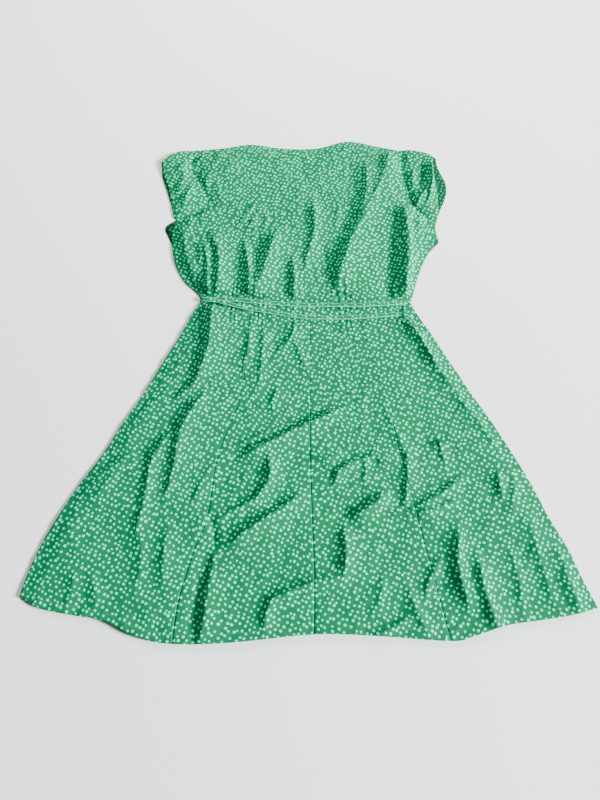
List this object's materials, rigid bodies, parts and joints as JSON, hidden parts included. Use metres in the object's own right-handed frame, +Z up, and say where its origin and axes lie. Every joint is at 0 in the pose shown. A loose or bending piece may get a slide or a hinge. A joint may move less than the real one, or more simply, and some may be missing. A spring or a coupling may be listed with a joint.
{
  "type": "wrap dress",
  "caption": "Knee-length wrap dress in a small floral print, laid flat face down, with cap sleeves, a gored flared skirt and narrow waist ties.",
  "frame": {"origin": "on the surface under the middle of the laid dress", "axes": "+Y towards the neck, +X towards the wearer's right, +Z up from the surface to the back of the dress"},
  "size_m": [0.8668, 0.9591, 0.0133],
  "materials": {
    "dress_cloth": "light woven crepe, green with a small mint-white flower print",
    "front_cloth": "the same printed crepe on the hidden fronts",
    "tie_cloth": "the same printed crepe, folded and stitched into narrow strips"
  },
  "bodies": {
    "root": {"bodice_back": "dress_cloth", "skirt_back_outer_left": "dress_cloth", "skirt_back_inner_left": "dress_cloth", "skirt_back_inner_right": "dress_cloth", "skirt_back_outer_right": "dress_cloth", "sleeve_left": "dress_cloth", "sleeve_right": "dress_cloth", "bodice_front_over": "front_cloth", "bodice_front_under": "front_cloth", "skirt_front_over": "front_cloth", "skirt_front_under": "front_cloth", "waist_tie_upper": "tie_cloth", "waist_tie_lower": "tie_cloth", "tie_loop_right": "tie_cloth"}
  },
  "joints": []
}
